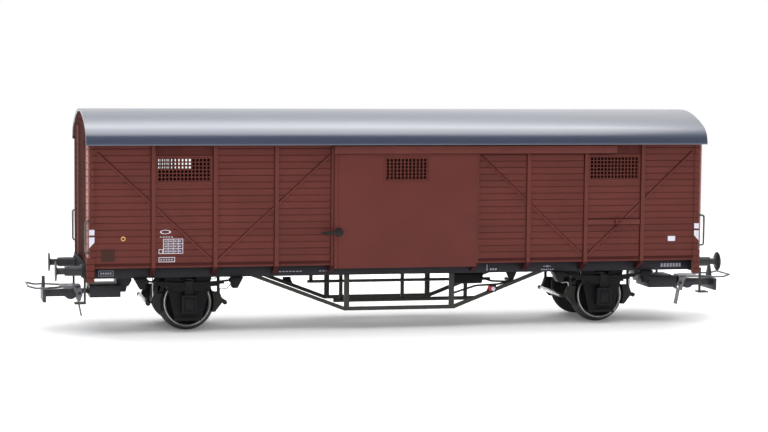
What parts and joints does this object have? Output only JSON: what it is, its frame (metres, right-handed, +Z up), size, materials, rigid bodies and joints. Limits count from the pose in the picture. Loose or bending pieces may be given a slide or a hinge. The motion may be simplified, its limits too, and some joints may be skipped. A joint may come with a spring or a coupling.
{
  "type": "h0 scale model two-axle covered railroad boxcar",
  "caption": "Scale model of a two-axle covered goods van with planked sides, sliding doors, arched roof, trussed underframe, buffers and hoop couplers.",
  "frame": {"origin": "centre of the van on the flat surface that the wheel flanges stand on", "axes": "+X along the van, towards the end that the near door slides to, -Y the near side, +Z up"},
  "size_m": [0.167, 0.0354, 0.0495],
  "materials": {
    "body_brown": "satin red-brown moulded plastic",
    "roof_grey": "satin blue-grey moulded plastic",
    "floor_black": "satin black moulded plastic",
    "ballast_steel": "plain steel strip",
    "brake_beam_metal": "silver-grey rod",
    "lever_red": "red and white printed plastic",
    "wheel_black": "blackened metal disc with a bright tread",
    "axle_steel": "turned steel",
    "coupler_black": "black moulded plastic",
    "hoop_metal": "blackened metal",
    "handrail_wire": "black wire"
  },
  "bodies": {
    "chassis": {"axleboxes": "floor_black", "axleguards": "floor_black", "ballast_weight": "ballast_steel", "brake_beams": "brake_beam_metal", "brake_cylinder": "floor_black", "brake_hangers": "floor_black", "brake_rods": "floor_black", "brake_shoes": "floor_black", "buffer_heads": "floor_black", "buffer_sleeves": "floor_black", "changeover_levers": "lever_red", "corner_posts": "body_brown", "coupler_boxes": "floor_black", "cross_members": "floor_black", "door_catch_bars": "body_brown", "door_rails": "body_brown", "doorway_frames": "body_brown", "end_steps": "floor_black", "end_wall_left": "body_brown", "end_wall_right": "body_brown", "floor": "floor_black", "handrails": "handrail_wire", "headstocks": "floor_black", "leaf_springs": "floor_black", "roof": "roof_grey", "side_braces_far": "body_brown", "side_braces_near": "body_brown", "side_panels_far": "body_brown", "side_panels_near": "body_brown", "side_posts_far": "body_brown", "side_posts_near": "body_brown", "solebars": "floor_black", "spring_brackets": "floor_black", "truss_queen_posts": "floor_black", "truss_stays": "floor_black", "truss_tie_bars": "floor_black", "vent_grilles": "body_brown"},
    "wheelset_left": {"wheelset_axle_left": "axle_steel", "wheels_left": "wheel_black"},
    "wheelset_right": {"wheelset_axle_right": "axle_steel", "wheels_right": "wheel_black"},
    "coupler_left": {"coupler_left": "coupler_black"},
    "coupler_right": {"coupler_right": "coupler_black"},
    "hoop_left": {"coupler_hoop_left": "hoop_metal"},
    "hoop_right": {"coupler_hoop_right": "hoop_metal"},
    "door_near": {"door_near": "body_brown", "door_grille_near": "body_brown", "door_latch_near": "floor_black"},
    "door_far": {"door_far": "body_brown", "door_grille_far": "body_brown", "door_latch_far": "floor_black"}
  },
  "joints": [
    {"name": "wheelset_left_spin", "type": "hinge", "parent": "chassis", "child": "wheelset_left", "pos_m": [-0.04845, 0, 0.0064], "axis": [0, 1, 0], "continuous": true},
    {"name": "wheelset_right_spin", "type": "hinge", "parent": "chassis", "child": "wheelset_right", "pos_m": [0.04845, 0, 0.0064], "axis": [0, 1, 0], "continuous": true},
    {"name": "coupler_left_swing", "type": "hinge", "parent": "chassis", "child": "coupler_left", "pos_m": [-0.068, 0, 0.0085], "axis": [0, 0, 1], "range_deg": [-12, 12]},
    {"name": "coupler_right_swing", "type": "hinge", "parent": "chassis", "child": "coupler_right", "pos_m": [0.068, 0, 0.0085], "axis": [0, 0, 1], "range_deg": [-12, 12]},
    {"name": "hoop_left_lift", "type": "hinge", "parent": "coupler_left", "child": "hoop_left", "pos_m": [-0.0717, 0, 0.00795], "axis": [0, 1, 0], "range_deg": [0, 25]},
    {"name": "hoop_right_lift", "type": "hinge", "parent": "coupler_right", "child": "hoop_right", "pos_m": [0.0717, 0, 0.00795], "axis": [0, -1, 0], "range_deg": [0, 25]},
    {"name": "door_near_slide", "type": "slide", "parent": "chassis", "child": "door_near", "axis": [1, 0, 0], "range_m": [0, 0.033]},
    {"name": "door_far_slide", "type": "slide", "parent": "chassis", "child": "door_far", "axis": [-1, 0, 0], "range_m": [0, 0.033]}
  ]
}
